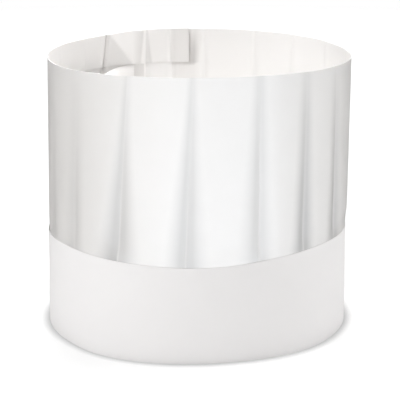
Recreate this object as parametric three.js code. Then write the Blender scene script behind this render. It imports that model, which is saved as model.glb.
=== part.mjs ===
import * as THREE from "three";

// Paper chef hat: a tall open crown rolled from one darted sheet, and a smooth headband round its foot.
// Millimetres, +Z up, the origin at the middle of the foot. An azimuth is in degrees from the front (-Y),
// growing towards the right (+X).

// Paper
const WALL = 1.0; // thickness of every paper wall, measured along the radius
const GAP = 0.3; // clearance between neighbouring layers of paper
const LAYER = WALL + GAP; // radial step from one layer to the next

// Outline of the hat, a row for each azimuth: the headband's radius at the foot, the level of the headband's
// top edge and the level of the crown's rim. The foot is slightly oval and the rim dips at both sides.
const OUTLINE = [
  { azimuth: -180, foot: 96.4, bandTop: 62.0, rim: 174.6 },
  { azimuth: -150, foot: 96.6, bandTop: 62.0, rim: 174.3 },
  { azimuth: -125, foot: 97.0, bandTop: 61.6, rim: 173.1 },
  { azimuth: -90, foot: 97.2, bandTop: 60.8, rim: 172.6 },
  { azimuth: -55, foot: 97.8, bandTop: 62.2, rim: 173.4 },
  { azimuth: -38, foot: 99.2, bandTop: 61.5, rim: 174.2 },
  { azimuth: -18, foot: 97.4, bandTop: 60.9, rim: 174.7 },
  { azimuth: 0, foot: 95.4, bandTop: 60.8, rim: 175.1 },
  { azimuth: 12, foot: 94.8, bandTop: 61.4, rim: 175.0 },
  { azimuth: 27, foot: 95.6, bandTop: 63.1, rim: 174.9 },
  { azimuth: 45, foot: 97.4, bandTop: 64.3, rim: 174.2 },
  { azimuth: 65, foot: 97.2, bandTop: 64.3, rim: 173.8 },
  { azimuth: 95, foot: 97.0, bandTop: 63.0, rim: 172.7 },
  { azimuth: 125, foot: 97.0, bandTop: 62.2, rim: 173.8 },
  { azimuth: 150, foot: 96.6, bandTop: 62.0, rim: 174.4 },
];
const WAIST_RADIUS = 96.6; // the headband's radius at its top edge
const WAIST_LEVEL = 62; // the height at which the oval foot has become that circle
const RIM_RADIUS = 96.0;
const RIM_LEAN = 1.2; // how far the rim stands to the right of the foot
const MOUTH_LEVEL = 174.5; // mean level of the rim

// The crown's sheet, followed from its outer end leftwards round the hat to its inner end
const OUTER_END = 265; // the outer end, at the left, hidden from the front
const STEP_IN = { from: -60, to: -90 }; // where the sheet moves in by one layer, to pass inside its own start
const SLIT_ROOT = -97; // a level slit divides the inner end from here on
const FLAP_END = -152.4; // the cut end of the lower part, the loose flap
const TAB_END = -176.6; // the cut end of the upper part, the closure tab
const SLIT_LEVEL = 151.6;
const SLIT_WIDTH = 0.8;
const INNER_RIM_RISE = 0.5; // the tab's edge stands this much above the outer layer's rim
const CROWN_SWELL = { right: 0.6, left: 0.1, height: 9 }; // how far the crown swells over the headband

// The loose flap springs in from the wall, most at the slit, and lies on the wall again at the headband
const FLAP_SPRING = { peak: 19, peakAzimuth: -121, tipLift: 1.1, heldBelow: 66 };
const TAB_LIFT = { from: -164, lift: 1.9 }; // the tab's end stands off the wall behind it

// Darts and folds, a row for each: its azimuth at the headband and at the rim, the half-width and depth there,
// and how fast it grows downwards from the rim (1 is straight, less is fuller near the rim).
// A negative depth is a fold that points outwards.
const DARTS = [
  { azimuth: 177.5, rimAzimuth: 176.5, width: 8.0, depth: 4.0, rimWidth: 3.0, rimDepth: 0.4, growth: 1.2 },
  { azimuth: 154.8, rimAzimuth: 155.2, width: 9.0, depth: 4.4, rimWidth: 3.0, rimDepth: 0.8, growth: 1.1 },
  { azimuth: 137.5, rimAzimuth: 137.8, width: 8.5, depth: 4.2, rimWidth: 3.0, rimDepth: 0.7, growth: 1.1 },
  { azimuth: 118.5, rimAzimuth: 118.0, width: 8.5, depth: 4.0, rimWidth: 2.0, rimDepth: 0.3, growth: 1.3 },
  { azimuth: 99.5, rimAzimuth: 99.0, width: 8.5, depth: 4.4, rimWidth: 2.0, rimDepth: 0.4, growth: 1.2 },
  { azimuth: 81.0, rimAzimuth: 79.0, width: 8.0, depth: 4.0, rimWidth: 2.0, rimDepth: 0.3, growth: 1.3 },
  { azimuth: 62.7, rimAzimuth: 59.5, width: 8.0, depth: 4.2, rimWidth: 2.0, rimDepth: 0.2, growth: 1.2 },
  { azimuth: 42.6, rimAzimuth: 40.9, width: 7.0, depth: 4.8, rimWidth: 2.0, rimDepth: 0.3, growth: 1.4 },
  { azimuth: 21.2, rimAzimuth: 22.3, width: 8.5, depth: 4.2, rimWidth: 2.6, rimDepth: 0.8, growth: 1.1 },
  { azimuth: -3.6, rimAzimuth: -2.7, width: 9.5, depth: 4.6, rimWidth: 2.0, rimDepth: 0.1, growth: 1.5 },
  { azimuth: -29.4, rimAzimuth: -24.8, width: 9.5, depth: 4.4, rimWidth: 2.4, rimDepth: 0.6, growth: 1.2 },
  { azimuth: -51.0, rimAzimuth: -48.9, width: 8.0, depth: 3.2, rimWidth: 2.0, rimDepth: 0.1, growth: 1.4 },
  { azimuth: -70.0, rimAzimuth: -68.5, width: 8.0, depth: 3.6, rimWidth: 2.0, rimDepth: 0.2, growth: 1.3 },
  { azimuth: -87.5, rimAzimuth: -87.0, width: 7.0, depth: 3.6, rimWidth: 2.0, rimDepth: 0.2, growth: 1.3 },
  { azimuth: -108.5, rimAzimuth: -108.5, width: 7.0, depth: 3.4, rimWidth: 2.4, rimDepth: 0.3, growth: 1.2 },
  { azimuth: -122.5, rimAzimuth: -127.5, width: 6.0, depth: 3.2, rimWidth: 2.4, rimDepth: 0.3, growth: 1.2 },
  { azimuth: -134.0, rimAzimuth: -139.0, width: 4.5, depth: 0.0, rimWidth: 4.5, rimDepth: -2.4, growth: 1.0 },
  { azimuth: -157.2, rimAzimuth: -157.8, width: 7.0, depth: 4.2, rimWidth: 1.2, rimDepth: 0.2, growth: 0.45 },
  { azimuth: -171.5, rimAzimuth: -168.6, width: 6.5, depth: 3.4, rimWidth: 3.0, rimDepth: 0.5, growth: 0.9 },
];
const CREASE_SHARPNESS = 1.5; // a dart's flanks are straight at 1, and bow towards the crease above that
const INNER_FOLD_NARROWING = 0.6; // an outward fold of the inner layer lies inside that of the outer layer

// Finishes
const PAPER = {
  crown: { color: 0xf4f4f4, roughness: 0.5, metalness: 0 },
  headband: { color: 0xefedee, roughness: 0.8, metalness: 0 },
};

const FULL_TURN = 360;
const radians = THREE.MathUtils.degToRad;
const degrees = THREE.MathUtils.radToDeg;
const lerp = THREE.MathUtils.lerp;

function smooth(from, to, value) {
  const share = THREE.MathUtils.clamp((value - from) / (to - from), 0, 1);
  return share * share * (3 - 2 * share);
}

function wrapped(azimuth) {
  return THREE.MathUtils.euclideanModulo(azimuth + FULL_TURN / 2, FULL_TURN) - FULL_TURN / 2;
}

// A column of the outline at any azimuth, on a smooth closed curve through its rows
function outline(column, azimuth) {
  const count = OUTLINE.length;
  const place = wrapped(azimuth);
  const at = (index) => {
    const turns = Math.floor(index / count);
    const row = OUTLINE[index - turns * count];
    return { azimuth: row.azimuth + turns * FULL_TURN, value: row[column] };
  };
  let index = count - 1;
  while (index > 0 && at(index).azimuth > place) index -= 1;
  const [before, start, end, after] = [at(index - 1), at(index), at(index + 1), at(index + 2)];
  const slopeIn = (end.value - before.value) / (end.azimuth - before.azimuth);
  const slopeOut = (after.value - start.value) / (after.azimuth - start.azimuth);
  const span = end.azimuth - start.azimuth;
  const t = (place - start.azimuth) / span;
  const rise = t * t * (3 - 2 * t);
  return (
    lerp(start.value, end.value, rise) +
    span * (slopeIn * t * (1 - t) * (1 - t) - slopeOut * t * t * (1 - t))
  );
}

// Radius of the hat's outside, without darts: the oval foot, the round waist and the leaning rim
function outerRadius(azimuth, z) {
  const low = lerp(outline("foot", azimuth), WAIST_RADIUS, smooth(0, WAIST_LEVEL, z));
  const high = RIM_RADIUS + RIM_LEAN * Math.sin(radians(azimuth));
  return lerp(low, high, THREE.MathUtils.clamp((z - WAIST_LEVEL) / (MOUTH_LEVEL - WAIST_LEVEL), 0, 1));
}

// How far down from the rim to the headband a level lies, from 0 to 1
function depthShare(z) {
  return THREE.MathUtils.clamp((MOUTH_LEVEL - z) / (MOUTH_LEVEL - WAIST_LEVEL), 0, 1);
}

function dartShape(dart, z) {
  const share = depthShare(z);
  const growth = share ** dart.growth;
  return {
    azimuth: lerp(dart.rimAzimuth, dart.azimuth, share),
    width: lerp(dart.rimWidth, dart.width, growth),
    depth: lerp(dart.rimDepth, dart.depth, growth),
  };
}

function dartInset(azimuth, z, inner) {
  let inset = 0;
  for (const dart of DARTS) {
    const { azimuth: crease, width, depth } = dartShape(dart, z);
    const reach = inner && depth < 0 ? width * INNER_FOLD_NARROWING : width;
    const away = Math.abs(radians(wrapped(azimuth - crease))) * WAIST_RADIUS;
    if (away < reach) inset += depth * (1 - away / reach) ** CREASE_SHARPNESS;
  }
  return inset;
}

// How far the loose flap stands in from the wall
function flapSpring(turn, z) {
  const { peak, peakAzimuth, tipLift, heldBelow } = FLAP_SPRING;
  if (turn > SLIT_ROOT || z > SLIT_LEVEL) return 0;
  const towardsPeak = turn > peakAzimuth ? smooth(SLIT_ROOT, peakAzimuth, turn) : smooth(FLAP_END, peakAzimuth, turn);
  const towardsTip = smooth(peakAzimuth, FLAP_END, turn);
  return (peak * towardsPeak + tipLift * towardsTip) * smooth(heldBelow, SLIT_LEVEL, z);
}

function tabLift(turn, z) {
  return z > SLIT_LEVEL ? TAB_LIFT.lift * smooth(TAB_LIFT.from, TAB_END, turn) : 0;
}

// Radius of the crown sheet's outer face at a point of its roll
function crownRadius(turn, z) {
  const bandTop = outline("bandTop", turn);
  const swell = lerp(CROWN_SWELL.left, CROWN_SWELL.right, (1 + Math.sin(radians(turn))) / 2);
  const overBand = smooth(bandTop, bandTop + CROWN_SWELL.height, z);
  const stepIn = LAYER * smooth(STEP_IN.from, STEP_IN.to, turn);
  return (
    outerRadius(turn, z) -
    lerp(LAYER, -swell, overBand) -
    stepIn -
    dartInset(turn, z, turn < STEP_IN.to) -
    flapSpring(turn, z) -
    tabLift(turn, z)
  );
}

// A closed solid from a grid of columns and rows. place(column, row) gives the azimuth, height and outer radius
// there, and keep(column, row) says whether the cell above and beside that corner is paper. With closed, the
// last column is joined to the first.
function paperSolid({ columns, rows, place, keep, closed }) {
  const points = [];
  for (let column = 0; column < columns; column += 1) {
    for (let row = 0; row < rows; row += 1) {
      const { azimuth, z, radius } = place(column, row);
      const along = new THREE.Vector3(Math.sin(radians(azimuth)), -Math.cos(radians(azimuth)), 0);
      const level = new THREE.Vector3(0, 0, z);
      points.push(along.clone().multiplyScalar(radius).add(level));
      points.push(along.clone().multiplyScalar(radius - WALL).add(level));
    }
  }
  const outside = (column, row) => 2 * ((column % columns) * rows + row);
  const triangles = [];
  const quad = (a, b, c, d) => triangles.push(a, c, b, a, d, c); // the columns run leftwards
  const spans = closed ? columns : columns - 1;
  const isPaper = (column, row) => {
    if (row < 0 || row >= rows - 1) return false;
    if (!closed && (column < 0 || column >= spans)) return false;
    return keep((column + columns) % columns, row);
  };
  for (let column = 0; column < spans; column += 1) {
    for (let row = 0; row < rows - 1; row += 1) {
      if (!isPaper(column, row)) continue;
      const [a, b] = [outside(column, row), outside(column + 1, row)];
      const [d, c] = [outside(column, row + 1), outside(column + 1, row + 1)];
      quad(a, b, c, d);
      quad(a + 1, d + 1, c + 1, b + 1);
      if (!isPaper(column, row - 1)) quad(a, a + 1, b + 1, b);
      if (!isPaper(column, row + 1)) quad(d, c, c + 1, d + 1);
      if (!isPaper(column - 1, row)) quad(a, d, d + 1, a + 1);
      if (!isPaper(column + 1, row)) quad(b, b + 1, c + 1, c);
    }
  }
  const geometry = new THREE.BufferGeometry().setFromPoints(points);
  geometry.setIndex(triangles);
  return geometry;
}

function paperMesh(name, geometry) {
  const mesh = new THREE.Mesh(geometry, new THREE.MeshStandardMaterial(PAPER[name]));
  mesh.name = name;
  return mesh;
}

// Columns of the crown's grid: every dart's crease, its flanks and edges, and the panels between the darts,
// which are divided where the sheet ends or its slit begins, alike on both layers of the overlap.
function crownColumns() {
  const FLANKS = [1, 0.5, 0, -0.5, -1];
  const PANEL_SHARES = [1 / 3, 2 / 3];
  const darts = DARTS.flatMap((dart) => [0, FULL_TURN].map((turns) => ({ dart, turns })));
  const onTurn = ({ dart, turns }) => dart.azimuth + turns;
  const met = darts
    .filter((item) => onTurn(item) < OUTER_END && onTurn(item) > TAB_END)
    .sort((first, second) => onTurn(second) - onTurn(first));
  const ends = [OUTER_END - FULL_TURN, SLIT_ROOT, FLAP_END, TAB_END].flatMap((end) => [end, end + FULL_TURN]);
  const columns = ends.filter((end) => end <= OUTER_END).map((end) => ({ nominal: end, azimuth: () => end }));
  met.forEach((item, index) => {
    for (const flank of FLANKS) {
      const azimuth = (z) => {
        const shape = dartShape(item.dart, z);
        return shape.azimuth + item.turns + degrees((flank * shape.width) / WAIST_RADIUS);
      };
      columns.push({ nominal: azimuth(WAIST_LEVEL), azimuth });
    }
    if (index === met.length - 1) return;
    const next = met[index + 1];
    if (ends.some((end) => end < onTurn(item) && end > onTurn(next))) return;
    for (const share of PANEL_SHARES) {
      const azimuth = (z) => {
        const [here, there] = [dartShape(item.dart, z), dartShape(next.dart, z)];
        const edge = here.azimuth + item.turns - degrees(here.width / WAIST_RADIUS);
        const farEdge = there.azimuth + next.turns + degrees(there.width / WAIST_RADIUS);
        return lerp(edge, farEdge, share);
      };
      columns.push({ nominal: azimuth(WAIST_LEVEL), azimuth });
    }
  });
  return columns.sort((first, second) => second.nominal - first.nominal);
}

// Levels of the crown's grid at an azimuth: the foot, the headband's edge, the darts' fading and the slit
function crownLevels(turn) {
  const INSIDE_BAND = [0, 0.5, 0.96];
  const OVER_BAND = [3, 9, 22, 42, 64];
  const bandTop = outline("bandTop", turn);
  const rise = INNER_RIM_RISE * smooth(STEP_IN.from, STEP_IN.to, turn);
  return [
    ...INSIDE_BAND.map((share) => share * bandTop),
    ...OVER_BAND.map((height) => bandTop + height),
    SLIT_LEVEL - SLIT_WIDTH / 2,
    SLIT_LEVEL + SLIT_WIDTH / 2,
    (SLIT_LEVEL + MOUTH_LEVEL) / 2,
    outline("rim", turn) + rise,
  ];
}

function makeCrown() {
  const columns = crownColumns();
  const rows = crownLevels(0).length;
  const slitRow = rows - 4;
  const geometry = paperSolid({
    columns: columns.length,
    rows,
    closed: false,
    place: (column, row) => {
      const z = crownLevels(columns[column].nominal)[row];
      const azimuth = columns[column].azimuth(z);
      return { azimuth, z, radius: crownRadius(azimuth, z) };
    },
    keep: (column, row) => {
      const nominal = columns[column].nominal;
      if (row === slitRow) return nominal > SLIT_ROOT;
      return row > slitRow || nominal > FLAP_END;
    },
  });
  return paperMesh("crown", geometry);
}

function makeHeadband() {
  const COLUMNS = 72;
  const SHARES = [0, 0.5, 1];
  const geometry = paperSolid({
    columns: COLUMNS,
    rows: SHARES.length,
    closed: true,
    place: (column, row) => {
      const azimuth = FULL_TURN / 2 - (column * FULL_TURN) / COLUMNS;
      const z = SHARES[row] * outline("bandTop", azimuth);
      return { azimuth, z, radius: outerRadius(azimuth, z) };
    },
    keep: () => true,
  });
  return paperMesh("headband", geometry);
}

const hat = new THREE.Group();
hat.add(makeCrown(), makeHeadband());

export default hat;
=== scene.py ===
"""Looks of a paper chef hat: its satin crown sheet, its matt headband, a white studio and the camera.

Metres, +Z up, the origin at the middle of the foot. An azimuth is in degrees from the front (-Y) and
grows towards the right (+X).
"""

import logging
import math
from dataclasses import dataclass
from enum import Enum
from typing import Callable

import bpy
import numpy as np
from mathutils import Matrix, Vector


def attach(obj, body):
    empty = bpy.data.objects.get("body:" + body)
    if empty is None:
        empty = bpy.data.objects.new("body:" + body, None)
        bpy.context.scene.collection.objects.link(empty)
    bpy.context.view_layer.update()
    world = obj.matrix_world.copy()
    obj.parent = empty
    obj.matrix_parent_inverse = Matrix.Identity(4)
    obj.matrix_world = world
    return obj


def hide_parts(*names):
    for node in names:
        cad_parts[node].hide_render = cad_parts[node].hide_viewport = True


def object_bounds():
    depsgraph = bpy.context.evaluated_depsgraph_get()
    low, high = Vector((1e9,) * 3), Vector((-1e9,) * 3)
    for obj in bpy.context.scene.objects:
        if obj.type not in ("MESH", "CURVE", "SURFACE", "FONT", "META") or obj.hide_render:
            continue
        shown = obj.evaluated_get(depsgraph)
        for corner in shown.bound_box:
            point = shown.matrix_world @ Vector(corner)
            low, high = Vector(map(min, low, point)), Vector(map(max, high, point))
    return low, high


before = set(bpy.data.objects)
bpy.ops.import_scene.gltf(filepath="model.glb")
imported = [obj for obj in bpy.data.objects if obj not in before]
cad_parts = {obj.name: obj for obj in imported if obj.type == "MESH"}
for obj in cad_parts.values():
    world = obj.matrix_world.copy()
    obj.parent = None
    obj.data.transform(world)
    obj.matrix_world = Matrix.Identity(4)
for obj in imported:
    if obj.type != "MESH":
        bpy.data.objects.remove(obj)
CAD_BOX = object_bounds()

LOG = logging.getLogger("paper_hat")
FULL_TURN = 360.0
SLIT_LEVEL = 0.1516
HIDDEN_LEVEL = 0.1300
PATCH_MARGIN = 0.02
GRID_SIZE = 1.0
XYZ = 3
INWARDS = -1.0
BACK_SLOT = 1
CUT_EDGE_ANGLE = math.radians(60)
FIBRE_DETAIL = 4.0
CREASE_ATTRIBUTE = "crease"
# the sheet's attributes that hold painted shade, for its outside and its inside
OUTSIDE_PAINTED_SHADE = "outside_painted_shade"
INSIDE_PAINTED_SHADE = "inside_painted_shade"

Triple = tuple[float, float, float]
Values = float | np.ndarray
BLACK: Triple = (0.0, 0.0, 0.0)
WHITE: Triple = (1.0, 1.0, 1.0)
EVEN_REACH: Triple = (1.0, 1.0, 1.0)


class Edge(Enum):
    """The measures of the hat's outline that change round its turn."""

    FOOT = "foot"
    BAND_TOP = "band_top"
    RIM = "rim"


@dataclass(frozen=True)
class OutlineRow:
    """The outline at one azimuth: the foot's radius, and the levels of the headband's top and the rim."""

    azimuth: float
    foot: float
    band_top: float
    rim: float


OUTLINE = (
    OutlineRow(azimuth=-180, foot=0.0964, band_top=0.0620, rim=0.1746),
    OutlineRow(azimuth=-150, foot=0.0966, band_top=0.0620, rim=0.1743),
    OutlineRow(azimuth=-125, foot=0.0970, band_top=0.0616, rim=0.1731),
    OutlineRow(azimuth=-90, foot=0.0972, band_top=0.0608, rim=0.1726),
    OutlineRow(azimuth=-55, foot=0.0978, band_top=0.0622, rim=0.1734),
    OutlineRow(azimuth=-38, foot=0.0992, band_top=0.0615, rim=0.1742),
    OutlineRow(azimuth=-18, foot=0.0974, band_top=0.0609, rim=0.1747),
    OutlineRow(azimuth=0, foot=0.0954, band_top=0.0608, rim=0.1751),
    OutlineRow(azimuth=12, foot=0.0948, band_top=0.0614, rim=0.1750),
    OutlineRow(azimuth=27, foot=0.0956, band_top=0.0631, rim=0.1749),
    OutlineRow(azimuth=45, foot=0.0974, band_top=0.0643, rim=0.1742),
    OutlineRow(azimuth=65, foot=0.0972, band_top=0.0643, rim=0.1738),
    OutlineRow(azimuth=95, foot=0.0970, band_top=0.0630, rim=0.1727),
    OutlineRow(azimuth=125, foot=0.0970, band_top=0.0622, rim=0.1738),
    OutlineRow(azimuth=150, foot=0.0966, band_top=0.0620, rim=0.1744),
)


def smooth(start: float, end: float, value: Values) -> Values:
    """Ease from 0 at start to 1 at end.

    Args:
        start: The value at which the ease begins.
        end: The value at which it ends.
        value: Where it is wanted.

    Returns:
        The eased shares, from 0 to 1.
    """
    share = np.clip((value - start) / (end - start), 0.0, 1.0)
    return share * share * (3.0 - 2.0 * share)


def lerp(start: Values, end: Values, share: Values) -> Values:
    """Return the value a share of the way from start to end."""
    return start + (end - start) * share


def wrapped(azimuth: Values) -> Values:
    """Return the same directions as angles from -180 up to 180 degrees."""
    return np.mod(azimuth + FULL_TURN / 2, FULL_TURN) - FULL_TURN / 2


def outline(edge: Edge, azimuth: np.ndarray) -> np.ndarray:
    """Read one measure of the outline off a smooth closed curve through its rows.

    Args:
        edge: The measure that is wanted.
        azimuth: Directions in degrees.

    Returns:
        The measure in each direction, in metres.
    """
    angles = np.array([row.azimuth for row in OUTLINE], float)
    values = np.array([getattr(row, edge.value) for row in OUTLINE])
    angles = np.concatenate([angles[-1:] - FULL_TURN, angles, angles[:2] + FULL_TURN])
    values = np.concatenate([values[-1:], values, values[:2]])
    place = wrapped(azimuth)
    at = np.clip(np.searchsorted(angles, place, side="right") - 1, 1, len(angles) - 3)
    span = angles[at + 1] - angles[at]
    slope_in = (values[at + 1] - values[at - 1]) / (angles[at + 1] - angles[at - 1])
    slope_out = (values[at + 2] - values[at]) / (angles[at + 2] - angles[at])
    t = (place - angles[at]) / span
    bend = slope_in * t * (1 - t) ** 2 - slope_out * t**2 * (1 - t)
    return lerp(values[at], values[at + 1], smooth(0, 1, t)) + span * bend


@dataclass(frozen=True)
class HatForm:
    """The hat's outside without its darts: oval at the foot, round above, leaning right at the rim."""

    waist_radius: float = 0.0966
    waist_level: float = 0.062
    rim_radius: float = 0.0960
    rim_lean: float = 0.0012
    mouth_level: float = 0.1745

    def radius(self, azimuth: np.ndarray, z: np.ndarray) -> np.ndarray:
        """Read the outer radius off the form.

        Args:
            azimuth: The points' azimuths.
            z: The points' heights.

        Returns:
            The radius at each point.
        """
        foot_share = smooth(0, self.waist_level, z)
        low = lerp(outline(Edge.FOOT, azimuth), self.waist_radius, foot_share)
        high = self.rim_radius + self.rim_lean * np.sin(np.radians(azimuth))
        return lerp(low, high, 1 - self.depth_share(z))

    def depth_share(self, z: np.ndarray) -> np.ndarray:
        """Return how far down from the rim to the headband a level lies, from 0 to 1."""
        return np.clip((self.mouth_level - z) / (self.mouth_level - self.waist_level), 0.0, 1.0)


FORM = HatForm()


@dataclass(frozen=True)
class Dart:
    """A dart or fold of the crown. A negative depth is a fold that points outwards.

    azimuth, left, right and depth are its place, the widths of its two flanks and its depth at the
    headband, and rim_azimuth, rim_half and rim_depth those at the rim. growth says how fast it grows
    downwards from the rim: 1 is straight, less is fuller near the rim. shade is how much painted shade
    darkens the paper round its crease at the headband, and rim_shade that at the rim; the painted shade
    stands in for the shade in the dart and in its tucked layers. shade_growth is to the shade what growth
    is to the dart. left_shade is the left flank's painted shade as a share of the right one's.
    """

    azimuth: float
    rim_azimuth: float
    left: float
    right: float
    depth: float
    shade: float
    rim_half: float = 0.0028
    rim_depth: float = 0.0003
    rim_shade: float = 0.0
    growth: float = 1.2
    shade_growth: float = 0.8
    left_shade: float = 1.0

    def share(self, z: np.ndarray) -> np.ndarray:
        """Return how fully grown the dart is at each level, from 0 at the rim to 1 at the headband."""
        return FORM.depth_share(z) ** self.growth

    def crease(self, z: np.ndarray) -> np.ndarray:
        """Return the azimuth of the crease at each level."""
        return lerp(self.rim_azimuth, self.azimuth, FORM.depth_share(z))

    def flank(self, z: np.ndarray, side: float) -> np.ndarray:
        """Return the width of the left (negative side) or right flank at each level."""
        return lerp(self.rim_half, self.left if side < 0 else self.right, self.share(z))

    def height(self, z: np.ndarray) -> np.ndarray:
        """Return the depth at each level."""
        return lerp(self.rim_depth, self.depth, self.share(z))

    def darkness(self, z: np.ndarray) -> np.ndarray:
        """Return how much the painted shade darkens the crease's surroundings at each level."""
        return lerp(self.rim_shade, self.shade, FORM.depth_share(z) ** self.shade_growth)

    def away(self, azimuth: np.ndarray, z: np.ndarray) -> np.ndarray:
        """Return each point's distance to the right of the crease along the wall."""
        return np.radians(wrapped(azimuth - self.crease(z))) * FORM.waist_radius

    def nearness(self, azimuth: np.ndarray, z: np.ndarray, narrowing: np.ndarray) -> np.ndarray:
        """Return how near each point is to the crease, from 0 at the flanks' ends to 1.

        Args:
            azimuth: The points' azimuths.
            z: The points' heights.
            narrowing: The share of the flanks' width that is left at each point.

        Returns:
            The nearness of each point.
        """
        away = self.away(azimuth, z)
        width = np.where(away < 0, self.flank(z, -1.0), self.flank(z, 1.0)) * narrowing
        return np.clip(1 - np.abs(away) / width, 0.0, 1.0)


# shade, rim_shade and left_shade set the painted shade round each crease
DARTS = (
    Dart(azimuth=177.5, rim_azimuth=176.5, left=0.0085, right=0.0085, depth=0.0022, shade=0.14),
    Dart(
        azimuth=154.8, rim_azimuth=155.2, left=0.0100, right=0.0100, depth=0.0024, shade=0.16,
        rim_depth=0.0006,
    ),
    Dart(
        azimuth=137.5, rim_azimuth=137.8, left=0.0100, right=0.0100, depth=0.0024, shade=0.16,
        rim_depth=0.0006,
    ),
    Dart(azimuth=118.5, rim_azimuth=118.0, left=0.0105, right=0.0105, depth=0.0024, shade=0.16),
    Dart(azimuth=99.5, rim_azimuth=99.0, left=0.0105, right=0.0105, depth=0.0024, shade=0.16),
    Dart(azimuth=81.0, rim_azimuth=79.0, left=0.0105, right=0.0105, depth=0.0024, shade=0.16),
    Dart(
        azimuth=62.6, rim_azimuth=59.8, left=0.0135, right=0.0130, depth=0.0022, shade=0.30,
        rim_half=0.0080, growth=1.6,
    ),
    Dart(
        azimuth=42.1, rim_azimuth=41.7, left=0.0125, right=0.0120, depth=0.0022, shade=0.42,
        rim_half=0.0070, rim_shade=0.08, growth=1.6,
    ),
    Dart(
        azimuth=22.6, rim_azimuth=22.3, left=0.0160, right=0.0130, depth=0.0024, shade=0.22,
        rim_half=0.0060, rim_shade=0.12,
    ),
    Dart(
        azimuth=-4.1, rim_azimuth=-1.4, left=0.0150, right=0.0160, depth=0.0022, shade=0.30,
        rim_half=0.0040, rim_shade=0.10,
    ),
    Dart(
        azimuth=-29.8, rim_azimuth=-24.8, left=0.0190, right=0.0170, depth=0.0026, shade=0.24,
        rim_half=0.0045, rim_depth=-0.0002, rim_shade=0.04, growth=1.6, left_shade=1.5,
    ),
    Dart(
        azimuth=-51.8, rim_azimuth=-48.9, left=0.0130, right=0.0110, depth=0.0014, shade=0.16,
        rim_half=0.0100, rim_depth=0.0, growth=1.6,
    ),
    Dart(
        azimuth=-70.0, rim_azimuth=-68.5, left=0.0100, right=0.0100, depth=0.0012, shade=0.10,
        rim_half=0.0080, rim_depth=0.0, growth=1.6,
    ),
    Dart(
        azimuth=-87.5, rim_azimuth=-87.0, left=0.0090, right=0.0130, depth=0.0010, shade=0.30,
        rim_half=0.0090, rim_shade=0.28,
    ),
    Dart(azimuth=-108.5, rim_azimuth=-108.5, left=0.0070, right=0.0070, depth=0.0022, shade=0.05),
    Dart(azimuth=-122.5, rim_azimuth=-127.5, left=0.0060, right=0.0060, depth=0.0020, shade=0.03),
    Dart(
        azimuth=-131.0, rim_azimuth=-140.1, left=0.0040, right=0.0040, depth=0.0, shade=0.0,
        rim_half=0.0045, rim_depth=-0.0026,
    ),
    Dart(
        azimuth=-157.2, rim_azimuth=-157.8, left=0.0070, right=0.0070, depth=0.0026, shade=0.0,
        rim_half=0.0012, growth=0.45,
    ),
    Dart(
        azimuth=-171.5, rim_azimuth=-168.6, left=0.0065, right=0.0065, depth=0.0019, shade=0.0,
        rim_depth=0.0005, growth=0.9,
    ),
)


@dataclass(frozen=True)
class PaintedLapShade:
    """Painted shade on the lap's inside, where layers behind the paper or in front of it shade it.

    start and end are its two sides, each given by its azimuth at the patch's top and at its bottom. The
    azimuths follow the sheet: past 180 they lie on the outer wrap, below -90 on the inner one. The shade
    fades within softness, in degrees, of a side.
    """

    start: tuple[float, float]
    end: tuple[float, float]
    darkness: float
    softness: float
    top: float = 0.1750
    bottom: float = SLIT_LEVEL

    def shade(self, azimuth: np.ndarray, z: np.ndarray) -> np.ndarray:
        """Work out how much painted shade the patch puts on the sheet.

        Args:
            azimuth: The points' azimuths.
            z: The points' heights.

        Returns:
            The darkness at each point, which is 0 outside the patch.
        """
        fall = (self.top - z) / (self.top - self.bottom)
        past_start = smooth(-self.softness, self.softness, lerp(*self.start, fall) - azimuth)
        before_end = smooth(-self.softness, self.softness, azimuth - lerp(*self.end, fall))
        at_level = (fall > -PATCH_MARGIN) & (fall < 1 + PATCH_MARGIN)
        return np.where(at_level, self.darkness * (past_start * before_end), 0.0)


PAINTED_WALL_SHADES = (
    # painted shade on the double wall, from the left of the opening to the folded corner
    PaintedLapShade(start=(-90.0, -90.0), end=(-140.0, -138.0), darkness=0.13, softness=2.0),
    # painted shade: the folded corner's dark line and the soft shade to the left of it
    PaintedLapShade(start=(-139.6, -137.6), end=(-140.7, -139.0), darkness=0.22, softness=0.5),
    PaintedLapShade(start=(-136.5, -134.0), end=(-139.8, -137.6), darkness=0.13, softness=3.0),
    # painted shade on the triangle between that line and the corner's slanting edge
    PaintedLapShade(start=(-140.6, -138.8), end=(-140.9, -152.6), darkness=0.15, softness=0.9),
    # painted shade: the narrow shades to the left and right of the bright upright fold
    PaintedLapShade(start=(-152.8, -152.8), end=(-157.4, -155.8), darkness=0.14, softness=0.6),
    PaintedLapShade(start=(-158.0, -157.5), end=(-158.9, -160.8), darkness=0.14, softness=0.4),
    # painted shade on the closure tab and its painted shadow on the wall
    PaintedLapShade(start=(-168.9, -168.5), end=(-178.5, -178.5), darkness=0.13, softness=0.5),
    PaintedLapShade(start=(183.8, 183.8), end=(181.2, 180.6), darkness=0.30, softness=0.5),
)


def below_slit(
    start: tuple[float, float],
    end: tuple[float, float],
    darkness: float,
    softness: float,
    bottom: float = HIDDEN_LEVEL,
) -> PaintedLapShade:
    """Return a painted shade of the wall under the slit, down to where the front of the hat hides it or less
    far.
    """
    return PaintedLapShade(start, end, darkness, softness, top=SLIT_LEVEL, bottom=bottom)


PAINTED_OUTER_WRAP_SHADES = (
    # painted shade at the foot of the folded corner
    below_slit(start=(222.4, 225.4), end=(221.0, 223.6), darkness=0.12, softness=0.6, bottom=0.1470),
    # painted shade on the wall behind the loose flap, the flap's painted shadow past its cut end, and
    # painted shade under the closure tab
    below_slit(start=(222.0, 224.4), end=(207.6, 207.6), darkness=0.04, softness=0.6),
    below_slit(start=(207.6, 207.6), end=(202.7, 202.7), darkness=0.18, softness=0.4),
    below_slit(start=(189.6, 189.6), end=(180.2, 180.2), darkness=0.05, softness=0.6),
)


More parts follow.
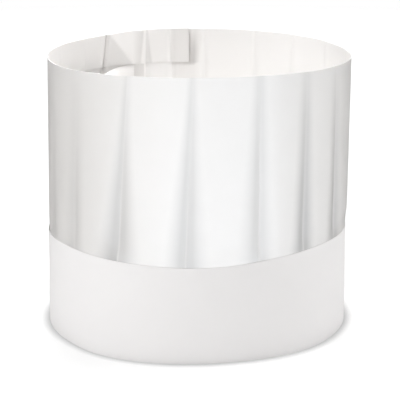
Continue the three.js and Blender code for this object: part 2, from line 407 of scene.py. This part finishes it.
@dataclass(frozen=True)
class PaperFinish:
    """A paper's finish: its colours, the painted shade that it reads off the sheet, gloss, cloudy formation
    and fibres.
    """

    name: str
    slot: str
    colour: Triple
    cloud_colour: Triple
    roughness: float
    crease_roughness: float
    specular: float
    translucence: float
    cloud_scale: float
    fibre_scale: float
    fibre_height: float
    painted_shade_attribute: str
    painted_shade_colour: Triple = BLACK
    light_reach: float = 0.0005

    def material(self) -> bpy.types.Material:
        """Build the finish on Object coordinates and the sheet's own attributes.

        Returns:
            The new material.
        """
        material = bpy.data.materials.new(self.name)
        material.use_nodes = True
        tree = material.node_tree
        shader = tree.nodes["Principled BSDF"]
        shader.inputs["Specular IOR Level"].default_value = self.specular
        shader.inputs["Subsurface Weight"].default_value = self.translucence
        shader.inputs["Subsurface Radius"].default_value = EVEN_REACH
        shader.inputs["Subsurface Scale"].default_value = self.light_reach
        place = tree.nodes.new("ShaderNodeTexCoord").outputs["Object"]
        tree.links.new(self.shaded_colour(tree, place), shader.inputs["Base Color"])
        tree.links.new(self.worn_gloss(tree), shader.inputs["Roughness"])
        tree.links.new(self.fibre_relief(tree, place), shader.inputs["Normal"])
        return material

    def shaded_colour(self, tree: bpy.types.NodeTree, place: bpy.types.NodeSocket) -> bpy.types.NodeSocket:
        """Mix the cloudy paper's colour towards black by the painted shade that the sheet carries.

        Args:
            tree: The material's nodes.
            place: The socket that gives a point's place.

        Returns:
            The socket that gives the colour.
        """
        cloud = tree.nodes.new("ShaderNodeTexNoise")
        cloud.inputs["Scale"].default_value = self.cloud_scale
        tree.links.new(place, cloud.inputs["Vector"])
        tint = tree.nodes.new("ShaderNodeMix")
        tint.data_type = "RGBA"
        tint.inputs["A"].default_value = (*self.colour, 1.0)
        tint.inputs["B"].default_value = (*self.cloud_colour, 1.0)
        tree.links.new(cloud.outputs["Fac"], tint.inputs["Factor"])
        # painted shade: the colour darkens towards black by the sheet's painted shade attribute
        shade = tree.nodes.new("ShaderNodeAttribute")
        shade.attribute_name = self.painted_shade_attribute
        painted_shade_mix = tree.nodes.new("ShaderNodeMix")
        painted_shade_mix.data_type = "RGBA"
        painted_shade_mix.inputs["B"].default_value = (*self.painted_shade_colour, 1.0)
        tree.links.new(shade.outputs["Fac"], painted_shade_mix.inputs["Factor"])
        tree.links.new(tint.outputs["Result"], painted_shade_mix.inputs["A"])
        return painted_shade_mix.outputs["Result"]

    def worn_gloss(self, tree: bpy.types.NodeTree) -> bpy.types.NodeSocket:
        """Make the paper duller along its creases.

        Args:
            tree: The material's nodes.

        Returns:
            The socket that gives the roughness.
        """
        crease = tree.nodes.new("ShaderNodeAttribute")
        crease.attribute_name = CREASE_ATTRIBUTE
        gloss = tree.nodes.new("ShaderNodeMapRange")
        gloss.inputs["To Min"].default_value = self.roughness
        gloss.inputs["To Max"].default_value = self.crease_roughness
        tree.links.new(crease.outputs["Fac"], gloss.inputs["Value"])
        return gloss.outputs["Result"]

    def fibre_relief(self, tree: bpy.types.NodeTree, place: bpy.types.NodeSocket) -> bpy.types.NodeSocket:
        """Raise the paper's fibres.

        Args:
            tree: The material's nodes.
            place: The socket that gives a point's place.

        Returns:
            The socket that gives the normal.
        """
        fibre = tree.nodes.new("ShaderNodeTexNoise")
        fibre.inputs["Scale"].default_value = self.fibre_scale
        fibre.inputs["Detail"].default_value = FIBRE_DETAIL
        tree.links.new(place, fibre.inputs["Vector"])
        relief = tree.nodes.new("ShaderNodeBump")
        relief.inputs["Distance"].default_value = self.fibre_height
        tree.links.new(fibre.outputs["Fac"], relief.inputs["Height"])
        return relief.outputs["Normal"]


SATIN_PAPER = PaperFinish(
    name="satin_crown_paper",
    slot="crown_paper",
    colour=(0.731, 0.715, 0.700),
    cloud_colour=(0.716, 0.700, 0.685),
    roughness=0.40,
    crease_roughness=0.55,
    specular=0.6,
    translucence=0.3,
    cloud_scale=90.0,
    fibre_scale=1400.0,
    fibre_height=0.00003,
    painted_shade_attribute=OUTSIDE_PAINTED_SHADE,
)
# the crown sheet's inside is much paler than its outside: partly its plain back, partly painted light
# standing in for light shining through the thin paper
PLAIN_PAPER = PaperFinish(
    name="plain_crown_back",
    slot="crown_paper",
    colour=(0.972, 0.952, 0.935),
    cloud_colour=(0.957, 0.937, 0.920),
    roughness=0.8,
    crease_roughness=0.8,
    specular=0.1,
    translucence=0.3,
    cloud_scale=90.0,
    fibre_scale=1400.0,
    fibre_height=0.00004,
    painted_shade_attribute=INSIDE_PAINTED_SHADE,
)
MATT_PAPER = PaperFinish(
    name="matt_headband_paper",
    slot="headband_paper",
    colour=(0.850, 0.835, 0.830),
    cloud_colour=(0.835, 0.820, 0.817),
    roughness=0.9,
    crease_roughness=0.9,
    specular=0.05,
    translucence=0.0,
    cloud_scale=70.0,
    fibre_scale=1100.0,
    fibre_height=0.00005,
    painted_shade_attribute=OUTSIDE_PAINTED_SHADE,
)


def deselect_all() -> None:
    """Leave nothing selected, so that the next operator acts on its own piece alone."""
    bpy.ops.object.select_all(action="DESELECT")


@dataclass
class PaperSheet:
    """A sheet of paper as a fine grid that is bent to its shape, cut and given its thickness.

    The arrays hold a value for each column and row of the grid, and keep tells which cells are paper.
    """

    name: str
    azimuth: np.ndarray
    z: np.ndarray
    radius: np.ndarray
    crease: np.ndarray
    outside_painted_shade: np.ndarray
    inside_painted_shade: np.ndarray
    keep: np.ndarray
    thickness: float
    finish: PaperFinish
    back_finish: PaperFinish

    def build(self) -> bpy.types.Object:
        """Make the sheet and dress it.

        Returns:
            The finished piece, whose wall lies inside the radius that was given.
        """
        columns, rows = self.azimuth.shape
        deselect_all()
        bpy.ops.mesh.primitive_grid_add(
            x_subdivisions=columns - 1,
            y_subdivisions=rows - 1,
            size=GRID_SIZE,
        )
        piece = bpy.context.object
        piece.name = piece.data.name = self.name
        flat = np.empty(len(piece.data.vertices) * XYZ)
        piece.data.vertices.foreach_get("co", flat)
        share = flat.reshape(-1, XYZ) / GRID_SIZE + 0.5
        column = np.rint(share[:, 0] * (columns - 1)).astype(int)
        row = np.rint(share[:, 1] * (rows - 1)).astype(int)
        angle = np.radians(self.azimuth[column, row])
        radius = self.radius[column, row]
        bent = np.stack([radius * np.sin(angle), -radius * np.cos(angle), self.z[column, row]], axis=1)
        piece.data.vertices.foreach_set("co", bent.ravel())
        # the creases' wear, and the painted shade outside and inside
        looks = {
            CREASE_ATTRIBUTE: self.crease,
            OUTSIDE_PAINTED_SHADE: self.outside_painted_shade,
            INSIDE_PAINTED_SHADE: self.inside_painted_shade,
        }
        for name, values in looks.items():
            attribute = piece.data.attributes.new(name, "FLOAT", "POINT")
            attribute.data.foreach_set("value", values[column, row].astype(np.float32))
        self.cut(piece, column, row)
        piece.data.materials.append(self.finish.material())
        piece.data.materials.append(self.back_finish.material())
        self.thicken(piece)
        return piece

    def cut(self, piece: bpy.types.Object, column: np.ndarray, row: np.ndarray) -> None:
        """Delete the cells that aren't paper, and face the rest outwards.

        Args:
            piece: The bent sheet.
            column: Each vertex's column.
            row: Each vertex's row.
        """
        bpy.ops.object.mode_set(mode="EDIT")
        bpy.ops.mesh.select_mode(type="FACE")
        bpy.ops.mesh.select_all(action="DESELECT")
        bpy.ops.object.mode_set(mode="OBJECT")
        for face in piece.data.polygons:
            corners = list(face.vertices)
            face.select = not self.keep[column[corners].min(), row[corners].min()]
        bpy.ops.object.mode_set(mode="EDIT")
        bpy.ops.mesh.delete(type="FACE")
        bpy.ops.mesh.select_all(action="SELECT")
        bpy.ops.mesh.flip_normals()
        bpy.ops.object.mode_set(mode="OBJECT")

    def thicken(self, piece: bpy.types.Object) -> None:
        """Give the sheet its thickness inwards and smooth all but its cut edges.

        Args:
            piece: The bent and cut sheet.
        """
        wall = piece.modifiers.new("wall", "SOLIDIFY")
        wall.thickness = self.thickness
        wall.offset = INWARDS
        wall.use_even_offset = True
        wall.material_offset = BACK_SLOT
        wall.material_offset_rim = BACK_SLOT
        bpy.ops.object.modifier_apply(modifier=wall.name)
        bpy.ops.object.shade_smooth_by_angle(angle=CUT_EDGE_ANGLE)


@dataclass(frozen=True)
class Station:
    """A line on the crown's sheet from the foot to the rim, such as a crease or a cut end.

    azimuth gives its azimuth at each level, and nominal is that at the headband's edge.
    """

    azimuth: Callable[[np.ndarray], np.ndarray]
    nominal: float

    @classmethod
    def upright(cls, place: float) -> "Station":
        """Return the upright line at one azimuth."""
        return cls(lambda z: np.full_like(z, place), place)

    @classmethod
    def on_dart(cls, dart: Dart, turns: float, flank: float) -> "Station":
        """Follow a line along a dart.

        Args:
            dart: The dart.
            turns: What to add to its azimuths, one full turn for the outer wrap of the lap.
            flank: The line's place, 0 on the crease, 1 at the right flank's end and -1 at the left one's.

        Returns:
            The line.
        """

        def azimuth(z: np.ndarray) -> np.ndarray:
            """Return the line's azimuth at each level."""
            offset = np.degrees(flank * dart.flank(z, flank) / FORM.waist_radius)
            return dart.crease(z) + turns + offset

        waist = np.array([FORM.waist_level])
        return cls(azimuth, float(azimuth(waist)[0]))

    @classmethod
    def between(cls, here: "Station", there: "Station", share: float) -> "Station":
        """Follow a line between two others.

        Args:
            here: The line at share 0.
            there: The line at share 1.
            share: How far the new line lies from here to there.

        Returns:
            The new line.
        """

        def azimuth(z: np.ndarray) -> np.ndarray:
            """Return the line's azimuth at each level."""
            return lerp(here.azimuth(z), there.azimuth(z), share)

        return cls(azimuth, lerp(here.nominal, there.nominal, share))


@dataclass
class Crown:
    """The crown's sheet, followed from its outer end leftwards round the hat to its inner end.

    Azimuths along it fall from outer_end to tab_end. Between step_from and step_to it passes behind its own
    outer end. The slit runs from slit_root to the tab's end, and flap_end is the cut end below it. The
    spring and curl fields shape the loose flap, the tab_lift fields the closure tab's end, and the pressed
    fields the foot of the darts, which the headband holds flat.
    """

    outer_end: float = 265.0
    step_from: float = -60.0
    step_to: float = -90.0
    slit_root: float = -97.0
    flap_end: float = -152.4
    tab_end: float = -176.6
    slit_level: float = SLIT_LEVEL
    slit_width: float = 0.0004
    inner_rise: float = 0.0005
    swell_right: float = 0.0006
    swell_left: float = 0.0001
    swell_height: float = 0.013
    thickness: float = 0.00035
    behind_band: float = 0.00031
    wrap_step: float = 0.00046
    spring_peak: float = 0.026
    curl: float = 0.007
    curl_from: float = 0.1406
    spring_azimuth: float = -121.0
    spring_tip: float = 0.0011
    spring_floor: float = 0.066
    tab_lift_from: float = -164.0
    tab_lift: float = 0.0026
    tab_lift_at_rim: float = 0.0006
    crease_sharpness: float = 1.5
    # the next four shape the darts' painted shade, the painted highlight along each crease and how much
    # shade shows inside
    shade_sharpness: float = 1.5
    shade_core: float = 0.75
    crease_highlight: float = 0.55
    inside_fade: float = 0.7
    pressed_share: float = 0.05
    pressed_height: float = 0.013
    fold_narrowing: float = 0.6
    crease_reach: float = 0.0009
    column_step: float = 0.0020
    lap_column_step: float = 0.0009
    lap_from: float = -130.0
    flanks: tuple[float, ...] = (1.0, 0.84, 0.68, 0.53, 0.39, 0.26, 0.15, 0.06, 0.0)
    rows_in_band: int = 7
    rows_to_slit: int = 34
    rows_to_rim: int = 15

    def stations(self) -> list[Station]:
        """Collect the lines that the sheet's columns must follow.

        Returns:
            The darts' flanks and creases and the sheet's ends, in order along the sheet.
        """
        found = [Station.upright(end) for end in self.ends()]
        flanks = [*self.flanks, *(-flank for flank in reversed(self.flanks[:-1]))]
        for dart in DARTS:
            for turns in (0.0, FULL_TURN):
                if self.tab_end < dart.azimuth + turns < self.outer_end:
                    found.extend(Station.on_dart(dart, turns, flank) for flank in flanks)
        return sorted(found, key=lambda station: -station.nominal)

    def ends(self) -> list[float]:
        """Return the azimuths of the sheet's cut ends and of the slit's root."""
        return [self.outer_end, self.slit_root, self.flap_end, self.tab_end]

    def columns(self) -> list[Station]:
        """Fill in more columns where the stations lie far apart.

        Returns:
            The sheet's columns in order, the stations among them.
        """
        stations = self.stations()
        filled = [stations[0]]
        for here, there in zip(stations, stations[1:]):
            apart = math.radians(here.nominal - there.nominal) * FORM.waist_radius
            wanted = self.lap_column_step if wrapped(here.nominal) < self.lap_from else self.column_step
            steps = max(1, round(apart / wanted))
            filled.extend(Station.between(here, there, step / steps) for step in range(1, steps))
            filled.append(there)
        return filled

    def levels(self, nominal: np.ndarray) -> np.ndarray:
        """Return the height of every row at each column.

        Args:
            nominal: The columns' azimuths at the headband's edge.

        Returns:
            An array of heights, a column of the sheet for each row of it.
        """
        band_top = outline(Edge.BAND_TOP, nominal)
        rise = self.inner_rise * smooth(self.step_from, self.step_to, nominal)
        rim = outline(Edge.RIM, nominal) + rise
        slit_low = np.full_like(nominal, self.slit_level - self.slit_width / 2)
        slit_high = slit_low + self.slit_width
        in_band = [band_top * share for share in np.linspace(0, 1, self.rows_in_band, endpoint=False)]
        to_slit = [lerp(band_top, slit_low, share) for share in np.linspace(0, 1, self.rows_to_slit)]
        to_rim = [lerp(slit_high, rim, share) for share in np.linspace(0, 1, self.rows_to_rim)]
        return np.stack([*in_band, *to_slit, *to_rim], axis=1)

    def inset(self, azimuth: np.ndarray, z: np.ndarray, inner: np.ndarray) -> np.ndarray:
        """Add up how far the darts take the wall in.

        Args:
            azimuth: The points' azimuths.
            z: The points' heights.
            inner: Which points lie on the inner wrap.

        Returns:
            The distance inwards at each point.
        """
        over_band = z - outline(Edge.BAND_TOP, azimuth)
        pressed = lerp(self.pressed_share, 1.0, smooth(0, self.pressed_height, over_band))
        total = np.zeros_like(azimuth)
        for dart in DARTS:
            height = dart.height(z)
            narrowing = np.where(inner & (height < 0), self.fold_narrowing, 1.0)
            total += height * dart.nearness(azimuth, z, narrowing) ** self.crease_sharpness
        loosened = inner & (azimuth < self.slit_root) & (z < self.slit_level)
        eased = np.where(loosened, 1 - smooth(self.slit_root, self.spring_azimuth, azimuth), 1.0)
        return total * pressed * eased

    def spring(self, azimuth: np.ndarray, z: np.ndarray) -> np.ndarray:
        """Lean the loose flap inwards and curl its upper edge back.

        Args:
            azimuth: The points' azimuths.
            z: The points' heights.

        Returns:
            How far it stands in from the wall at each point, 0 elsewhere on the sheet.
        """
        rising = smooth(self.slit_root, self.spring_azimuth, azimuth)
        falling = smooth(self.flap_end, self.spring_azimuth, azimuth)
        towards_peak = np.where(azimuth > self.spring_azimuth, rising, falling)
        towards_tip = smooth(self.spring_azimuth, self.flap_end, azimuth)
        stand = self.spring_peak * towards_peak + self.spring_tip * towards_tip
        leaning = stand * smooth(self.spring_floor, self.slit_level, z)
        curled = np.clip((z - self.curl_from) / (self.slit_level - self.curl_from), 0.0, 1.0) ** 2
        loose = (azimuth < self.slit_root) & (z < self.slit_level)
        return np.where(loose, leaning - self.curl * towards_peak * curled, 0.0)

    def lift(self, azimuth: np.ndarray, z: np.ndarray) -> np.ndarray:
        """Lift the closure tab's end off the wall behind it.

        Args:
            azimuth: The points' azimuths.
            z: The points' heights.

        Returns:
            How far it stands off at each point, 0 elsewhere on the sheet.
        """
        height_share = np.clip((z - self.slit_level) / (FORM.mouth_level - self.slit_level), 0.0, 1.0)
        lift = lerp(self.tab_lift, self.tab_lift_at_rim, height_share)
        return np.where(z > self.slit_level, lift * smooth(self.tab_lift_from, self.tab_end, azimuth), 0.0)

    def radius(self, azimuth: np.ndarray, z: np.ndarray) -> np.ndarray:
        """Roll the sheet up, with its darts, its flap and its tab.

        Args:
            azimuth: The points' azimuths.
            z: The points' heights.

        Returns:
            The radius of its outer face at each point.
        """
        band_top = outline(Edge.BAND_TOP, azimuth)
        swell = lerp(self.swell_left, self.swell_right, (1 + np.sin(np.radians(azimuth))) / 2)
        over_band = smooth(0, self.swell_height, z - band_top)
        step_in = self.wrap_step * smooth(self.step_from, self.step_to, azimuth)
        base = FORM.radius(azimuth, z) - lerp(self.behind_band, -swell, over_band) - step_in
        inner = azimuth < self.step_to
        return base - self.inset(azimuth, z, inner) - self.spring(azimuth, z) - self.lift(azimuth, z)

    def creased(self, azimuth: np.ndarray, z: np.ndarray) -> np.ndarray:
        """Find how creased the paper is.

        Args:
            azimuth: The points' azimuths.
            z: The points' heights.

        Returns:
            The wear at each point, from 0 to 1 on a full-grown crease.
        """
        worn = np.zeros_like(azimuth)
        for dart in DARTS:
            worn = np.maximum(worn, dart.share(z) * (1 - np.abs(dart.away(azimuth, z)) / self.crease_reach))
        return worn

    def shaded(self, azimuth: np.ndarray, z: np.ndarray) -> np.ndarray:
        """Work out the painted shade that the darts put on the outside, with a painted highlight along each
        crease.

        Args:
            azimuth: The points' azimuths.
            z: The points' heights.

        Returns:
            The darkness at each point.
        """
        shade = np.zeros_like(azimuth)
        for dart in DARTS:
            core = np.minimum(dart.nearness(azimuth, z, np.ones_like(z)) / self.shade_core, 1.0)
            side = np.where(dart.away(azimuth, z) < 0, dart.left_shade, 1.0)
            shade += side * dart.darkness(z) * core**self.shade_sharpness
        return shade * (1 - self.crease_highlight * self.creased(azimuth, z))

    def shaded_inside(self, azimuth: np.ndarray, z: np.ndarray) -> np.ndarray:
        """Work out the painted shade on the inside, the lap's painted shades and shadows included.

        Args:
            azimuth: The points' azimuths.
            z: The points' heights.

        Returns:
            The darkness at each point.
        """
        shade = self.inside_fade * self.shaded(azimuth, z)
        for patch in (*PAINTED_WALL_SHADES, *PAINTED_OUTER_WRAP_SHADES):
            shade = np.maximum(shade, patch.shade(azimuth, z))
        return shade

    def build(self) -> bpy.types.Object:
        """Make the crown's sheet.

        Returns:
            The crown's piece, which replaces the plain crown.
        """
        columns = self.columns()
        nominal = np.array([column.nominal for column in columns])
        z = self.levels(nominal)
        azimuth = np.stack([column.azimuth(level) for column, level in zip(columns, z)])
        slit_row = self.rows_in_band + self.rows_to_slit - 1
        row = np.arange(z.shape[1])
        on_tab = row[None, :] > slit_row
        in_slit = (row[None, :] == slit_row) & (nominal[:, None] <= self.slit_root)
        past_flap = (nominal[:, None] <= self.flap_end) & ~on_tab
        sheet = PaperSheet(
            name="crown_sheet",
            azimuth=azimuth,
            z=z,
            radius=self.radius(azimuth, z),
            crease=self.creased(azimuth, z),
            outside_painted_shade=self.shaded(azimuth, z),
            inside_painted_shade=self.shaded_inside(azimuth, z),
            keep=~(in_slit | past_flap),
            thickness=self.thickness,
            finish=SATIN_PAPER,
            back_finish=PLAIN_PAPER,
        )
        return sheet.build()


@dataclass
class Headband:
    """The headband's strip, whose outer end laps over the inner one at the back."""

    seam: float = 180.0
    lap: float = 8.5
    thickness: float = 0.0003
    gap: float = 0.00005
    column_step: float = 1.0
    rows: int = 13

    def build(self) -> bpy.types.Object:
        """Make the headband's strip.

        Returns:
            The headband's piece, which replaces the plain headband.
        """
        length = FULL_TURN + self.lap
        count = round(length / self.column_step) + 1
        along = np.linspace(self.seam, self.seam - length, count)
        top = outline(Edge.BAND_TOP, along)
        z = np.stack([top * share for share in np.linspace(0, 1, self.rows)], axis=1)
        azimuth = np.repeat(along[:, None], self.rows, axis=1)
        raised = smooth(self.seam - self.lap * 2, self.seam - self.lap, azimuth)
        radius = FORM.radius(azimuth, z) + (self.thickness + self.gap) * raised
        sheet = PaperSheet(
            name="headband_strip",
            azimuth=azimuth,
            z=z,
            radius=radius,
            crease=np.zeros_like(z),
            outside_painted_shade=np.zeros_like(z),
            inside_painted_shade=np.zeros_like(z),
            keep=np.ones(z.shape, bool),
            thickness=self.thickness,
            finish=MATT_PAPER,
            back_finish=MATT_PAPER,
        )
        return sheet.build()


class LampKind(Enum):
    """What a lamp lights: everything, or only the gloss of the papers."""

    FULL = "full"
    GLOSS = "gloss"


@dataclass(frozen=True)
class Lamp:
    """A soft lamp that looks at the hat's middle, or at a place aside of it."""

    name: str
    azimuth: float
    elevation: float
    distance: float
    width: float
    height: float
    power: float
    colour: Triple = WHITE
    kind: LampKind = LampKind.FULL
    aside: Triple = (0.0, 0.0, 0.0)
    spread: float = 180.0

    def build(self, middle: Vector) -> bpy.types.Object:
        """Hang the lamp and turn it to its aim.

        Args:
            middle: The hat's middle.

        Returns:
            The lamp.
        """
        data = bpy.data.lights.new(self.name, "AREA")
        data.shape = "RECTANGLE"
        data.size = self.width
        data.size_y = self.height
        data.energy = self.power
        data.color = self.colour
        data.spread = math.radians(self.spread)
        lamp = bpy.data.objects.new(self.name, data)
        bpy.context.scene.collection.objects.link(lamp)
        turn = math.radians(self.azimuth)
        rise = math.radians(self.elevation)
        level = math.cos(rise)
        towards = Vector((math.sin(turn) * level, -math.cos(turn) * level, math.sin(rise)))
        lamp.location = middle + Vector(self.aside) + towards * self.distance
        lamp.rotation_euler = towards.to_track_quat("Z", "Y").to_euler()
        lamp.visible_camera = False
        if self.kind is LampKind.GLOSS:
            lamp.visible_diffuse = False
        return lamp


LAMPS = (
    Lamp("key", azimuth=-53, elevation=34, distance=1.8, width=0.10, height=0.10, power=4.5),
    Lamp("left_soft", azimuth=-100, elevation=20, distance=2.0, width=1.2, height=1.0, power=6.2),
    Lamp("front_soft", azimuth=-15, elevation=30, distance=2.0, width=1.2, height=1.0, power=16.7),
    Lamp("right_soft", azimuth=100, elevation=20, distance=2.0, width=1.2, height=1.0, power=18.2),
    Lamp("back_soft", azimuth=180, elevation=30, distance=2.0, width=1.4, height=1.0, power=16.1),
    Lamp("top_soft", azimuth=0, elevation=90, distance=1.8, width=1.6, height=1.6, power=20.3),
    Lamp(
        "flap_fill",
        azimuth=105,
        elevation=75,
        distance=0.55,
        width=0.08,
        height=0.08,
        power=0.060,
        aside=(-0.065, 0.025, 0.055),
        spread=30.0,
    ),
)


@dataclass(frozen=True)
class GlossArc:
    """Panels round the hat's front that only its gloss shows, a power for each in turn from the left."""

    start: float = -75.0
    step: float = 30.0
    elevation: float = -15.0
    distance: float = 1.5
    width: float = 0.75
    height: float = 0.9
    colour: Triple = (0.89, 0.94, 1.0)
    powers: tuple[float, ...] = (3.5, 10.6, 14.8, 19.6, 18.2, 7.3, 3.7)

    def lamps(self) -> list[Lamp]:
        """Return the arc's panels as lamps."""
        return [
            Lamp(
                f"gloss_{number}",
                azimuth=self.start + self.step * number,
                elevation=self.elevation,
                distance=self.distance,
                width=self.width,
                height=self.height,
                power=power,
                colour=self.colour,
                kind=LampKind.GLOSS,
            )
            for number, power in enumerate(self.powers)
        ]


@dataclass
class Studio:
    """The white studio: its floor, lamps, backdrop and camera."""

    floor_radius: float = 1.5
    floor_corners: int = 96
    floor_colour: float = 0.9
    floor_roughness: float = 0.9
    floor_glow: float = 0.12
    # the contact fields shape the floor's painted contact shadow round the hat's foot
    contact_reach: float = 0.007
    contact_from: float = 0.5
    contact_shade: float = 0.45
    contact_samples: int = 8
    camera_place: Triple = (0.0, -0.9363, 0.3285)
    camera_pitch: float = 74.96
    camera_yaw: float = -0.12
    focal_pixels: float = 1488.0
    frame_pixels: float = 400.0
    sensor: float = 36.0

    def build(self) -> None:
        """Set up the whole studio."""
        self.build_floor()
        self.build_world()
        middle = Vector((0.0, 0.0, (CAD_BOX[0].z + CAD_BOX[1].z) / 2))
        for lamp in (*LAMPS, *GlossArc().lamps()):
            lamp.build(middle)
        self.build_camera()

    def build_floor(self) -> None:
        """Lay the round, pale floor."""
        deselect_all()
        bpy.ops.mesh.primitive_circle_add(
            vertices=self.floor_corners,
            radius=self.floor_radius,
            fill_type="NGON",
        )
        floor = bpy.context.object
        floor.name = "studio_floor"
        floor.data.materials.append(self.floor_paint())
        floor.visible_glossy = False
        floor.visible_shadow = False

    def floor_paint(self) -> bpy.types.Material:
        """Build the floor's white, which glows faintly and has a painted contact shadow at the hat's foot.

        Returns:
            The new material.
        """
        material = bpy.data.materials.new("studio_floor_white")
        material.use_nodes = True
        nodes, links = material.node_tree.nodes, material.node_tree.links
        shader = nodes["Principled BSDF"]
        shader.inputs["Roughness"].default_value = self.floor_roughness
        shader.inputs["Emission Color"].default_value = (*WHITE, 1.0)
        shader.inputs["Emission Strength"].default_value = self.floor_glow
        # painted contact shadow: the floor's colour darkens near the hat's foot
        contact_shadow = nodes.new("ShaderNodeAmbientOcclusion")
        contact_shadow.samples = self.contact_samples
        contact_shadow.inputs["Distance"].default_value = self.contact_reach
        tone = nodes.new("ShaderNodeMapRange")
        tone.inputs["From Min"].default_value = self.contact_from
        tone.inputs["To Min"].default_value = self.contact_shade
        tone.inputs["To Max"].default_value = self.floor_colour
        links.new(contact_shadow.outputs["AO"], tone.inputs["Value"])
        links.new(tone.outputs["Result"], shader.inputs["Base Color"])
        return material

    def build_world(self) -> None:
        """Put a white backdrop behind the floor's far edge, which lights nothing."""
        world = bpy.data.worlds.new("studio_backdrop")
        world.use_nodes = True
        background = world.node_tree.nodes["Background"]
        background.inputs["Color"].default_value = (*WHITE, 1.0)
        bpy.context.scene.world = world
        world.cycles_visibility.diffuse = False
        world.cycles_visibility.glossy = False

    def build_camera(self) -> None:
        """Place the camera at the height and distance from which the hat is seen."""
        data = bpy.data.cameras.new("camera")
        data.sensor_width = self.sensor
        data.lens = self.focal_pixels / self.frame_pixels * self.sensor
        camera = bpy.data.objects.new("camera", data)
        bpy.context.scene.collection.objects.link(camera)
        camera.location = self.camera_place
        camera.rotation_euler = (math.radians(self.camera_pitch), 0.0, math.radians(self.camera_yaw))
        bpy.context.scene.camera = camera


def hand_over(piece: bpy.types.Object, node: str) -> None:
    """Let a finished piece stand for its node and report it.

    Args:
        piece: The finished piece.
        node: The node of the frame that it replaces.
    """
    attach(piece, "root")
    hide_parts(node)
    LOG.info("%s: %d points, %d faces", piece.name, len(piece.data.vertices), len(piece.data.polygons))


def main() -> None:
    """Build the hat and its studio."""
    logging.basicConfig(level=logging.INFO)
    bpy.context.scene.view_settings.view_transform = "Standard"
    hand_over(Crown().build(), "crown")
    hand_over(Headband().build(), "headband")
    Studio().build()


if __name__ == "__main__":
    main()
